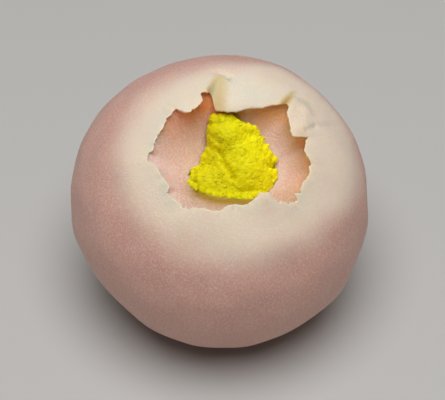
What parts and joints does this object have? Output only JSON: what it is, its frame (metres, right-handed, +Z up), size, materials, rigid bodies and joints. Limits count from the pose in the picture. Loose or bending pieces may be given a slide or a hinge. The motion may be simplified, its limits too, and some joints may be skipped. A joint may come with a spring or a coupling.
{
  "type": "nerikiri sweet",
  "caption": "Round soft bean-paste sweet on a flattened foot, its thin skin torn open on top over a hollow that holds a heap of crumb.",
  "frame": {"origin": "middle of the box round the ball, on the surface that it stands on", "axes": "+Z up, the mouth looks up and a little towards -Y, and +X is to the right as seen from the mouth's side"},
  "size_m": [0.0434, 0.043, 0.0407],
  "materials": {
    "outer_dough": "soft matte dough, cream at the mouth and pink at the sides",
    "pink_core": "soft matte pink dough",
    "yellow_crumb": "moist matte crumb"
  },
  "bodies": {
    "root": {"outer_dough": "outer_dough", "pink_core": "pink_core", "yellow_crumb": "yellow_crumb"}
  },
  "joints": []
}
